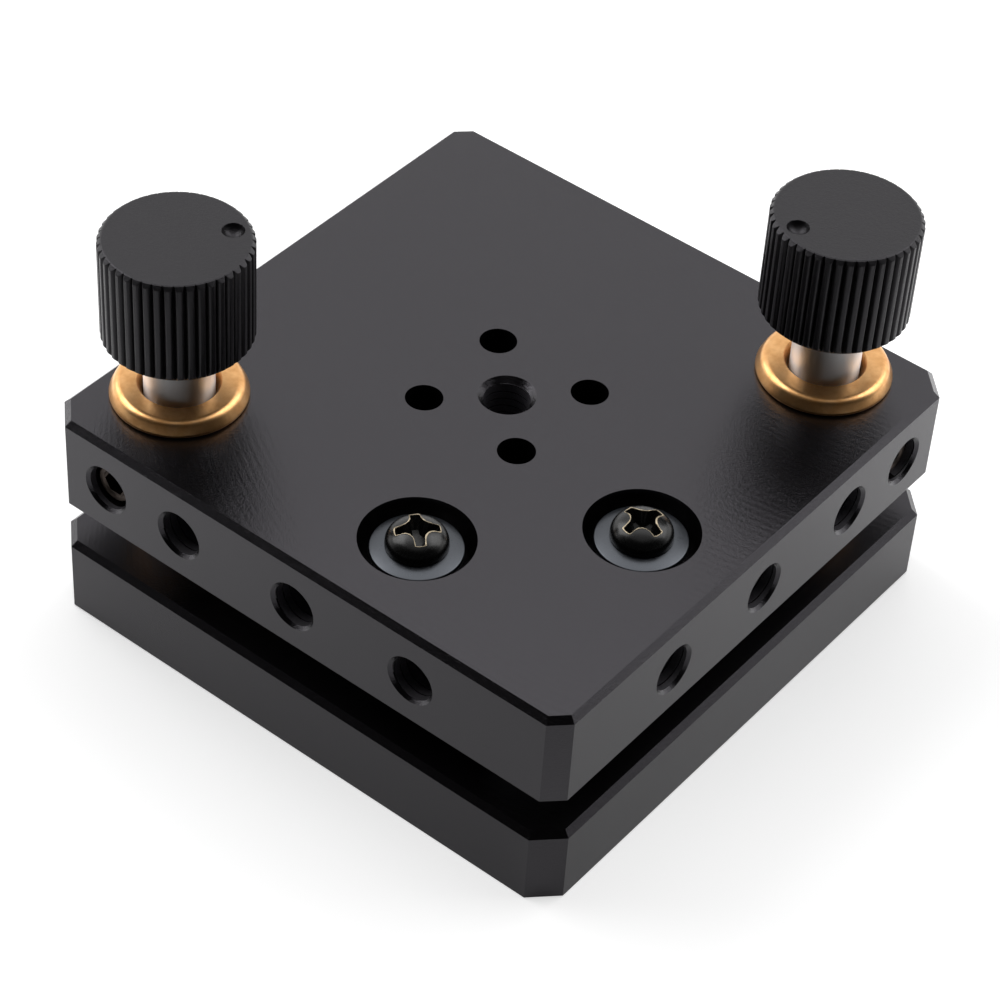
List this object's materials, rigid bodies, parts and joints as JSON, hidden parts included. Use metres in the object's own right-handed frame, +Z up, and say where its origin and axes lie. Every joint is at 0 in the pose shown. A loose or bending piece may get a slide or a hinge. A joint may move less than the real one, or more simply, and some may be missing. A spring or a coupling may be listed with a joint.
{
  "type": "kinematic tilt stage",
  "caption": "Square tilt stage: a top plate on a pivot ball and fine-thread adjusters with knurled knobs, held to its base plate by spring-loaded screws.",
  "frame": {"origin": "centre of the base plate's underside", "axes": "+Z up from the base plate to the top plate; the corner over the pivot ball is at +X -Y, the left adjuster is at -X -Y and the right adjuster at +X +Y"},
  "size_m": [0.056, 0.056, 0.0394],
  "materials": {
    "top_plate_anodised": "black anodised, satin, fine milling marks",
    "base_plate_anodised": "black anodised, satin",
    "knob_anodised": "black anodised, satin",
    "bushing_brass": "turned, slightly tarnished",
    "shaft_steel": "turned stainless steel",
    "screw_steel": "black oxide, worn bright at the edges of the recess",
    "washer_steel": "black oxide, satin",
    "lock_screw_steel": "stainless steel",
    "spring_steel": "bright spring wire",
    "ball_steel": "polished hardened steel",
    "seat_steel": "ground hardened steel"
  },
  "bodies": {
    "base": {"base_plate": "base_plate_anodised", "cone_seat": "seat_steel", "vee_seat": "seat_steel", "flat_seat": "seat_steel", "spring_screw_left": "screw_steel", "spring_screw_right": "screw_steel", "washer_left": "washer_steel", "washer_right": "washer_steel", "spring_left": "spring_steel", "spring_right": "spring_steel"},
    "pivot": {"pivot_ball": "ball_steel"},
    "top": {"top_plate": "top_plate_anodised", "pivot_cup": "seat_steel", "bushing_left": "bushing_brass", "bushing_right": "bushing_brass", "lock_screw_left": "lock_screw_steel", "lock_screw_right": "lock_screw_steel"},
    "tip_left": {"ball_tip_left": "ball_steel"},
    "tip_right": {"ball_tip_right": "ball_steel"},
    "adjuster_left": {"adjuster_screw_left": "shaft_steel", "knob_left": "knob_anodised"},
    "adjuster_right": {"adjuster_screw_right": "shaft_steel", "knob_right": "knob_anodised"}
  },
  "joints": [
    {"name": "tilt_right", "type": "hinge", "parent": "base", "child": "pivot", "pos_m": [0.0187, -0.0187, 0.0101], "axis": [1, 0, 0], "range_deg": [-2.48, 2.48], "deforming": ["spring_right"]},
    {"name": "tilt_left", "type": "hinge", "parent": "pivot", "child": "top", "pos_m": [0.0187, -0.0187, 0.0101], "axis": [0, 1, 0], "range_deg": [-2.48, 2.48], "deforming": ["spring_left"]},
    {"name": "advance_left", "type": "slide", "parent": "top", "child": "tip_left", "axis": [0, 0, -1], "range_m": [-0.00174, 0.00174]},
    {"name": "advance_right", "type": "slide", "parent": "top", "child": "tip_right", "axis": [0, 0, -1], "range_m": [-0.00174, 0.00174]},
    {"name": "turn_left", "type": "hinge", "parent": "tip_left", "child": "adjuster_left", "pos_m": [-0.0211, -0.0187, 0.0101], "axis": [0, 0, -1], "range_deg": [-1950, 1950]},
    {"name": "turn_right", "type": "hinge", "parent": "tip_right", "child": "adjuster_right", "pos_m": [0.0187, 0.0211, 0.0101], "axis": [0, 0, -1], "range_deg": [-1950, 1950]}
  ],
  "couplings": [
    {"joint": "advance_left", "follows": "turn_left", "m_per_rad": 0.000050532},
    {"joint": "tilt_left", "follows": "turn_left", "ratio": 0.0012696},
    {"joint": "advance_right", "follows": "turn_right", "m_per_rad": 0.000050532},
    {"joint": "tilt_right", "follows": "turn_right", "ratio": 0.0012696}
  ]
}
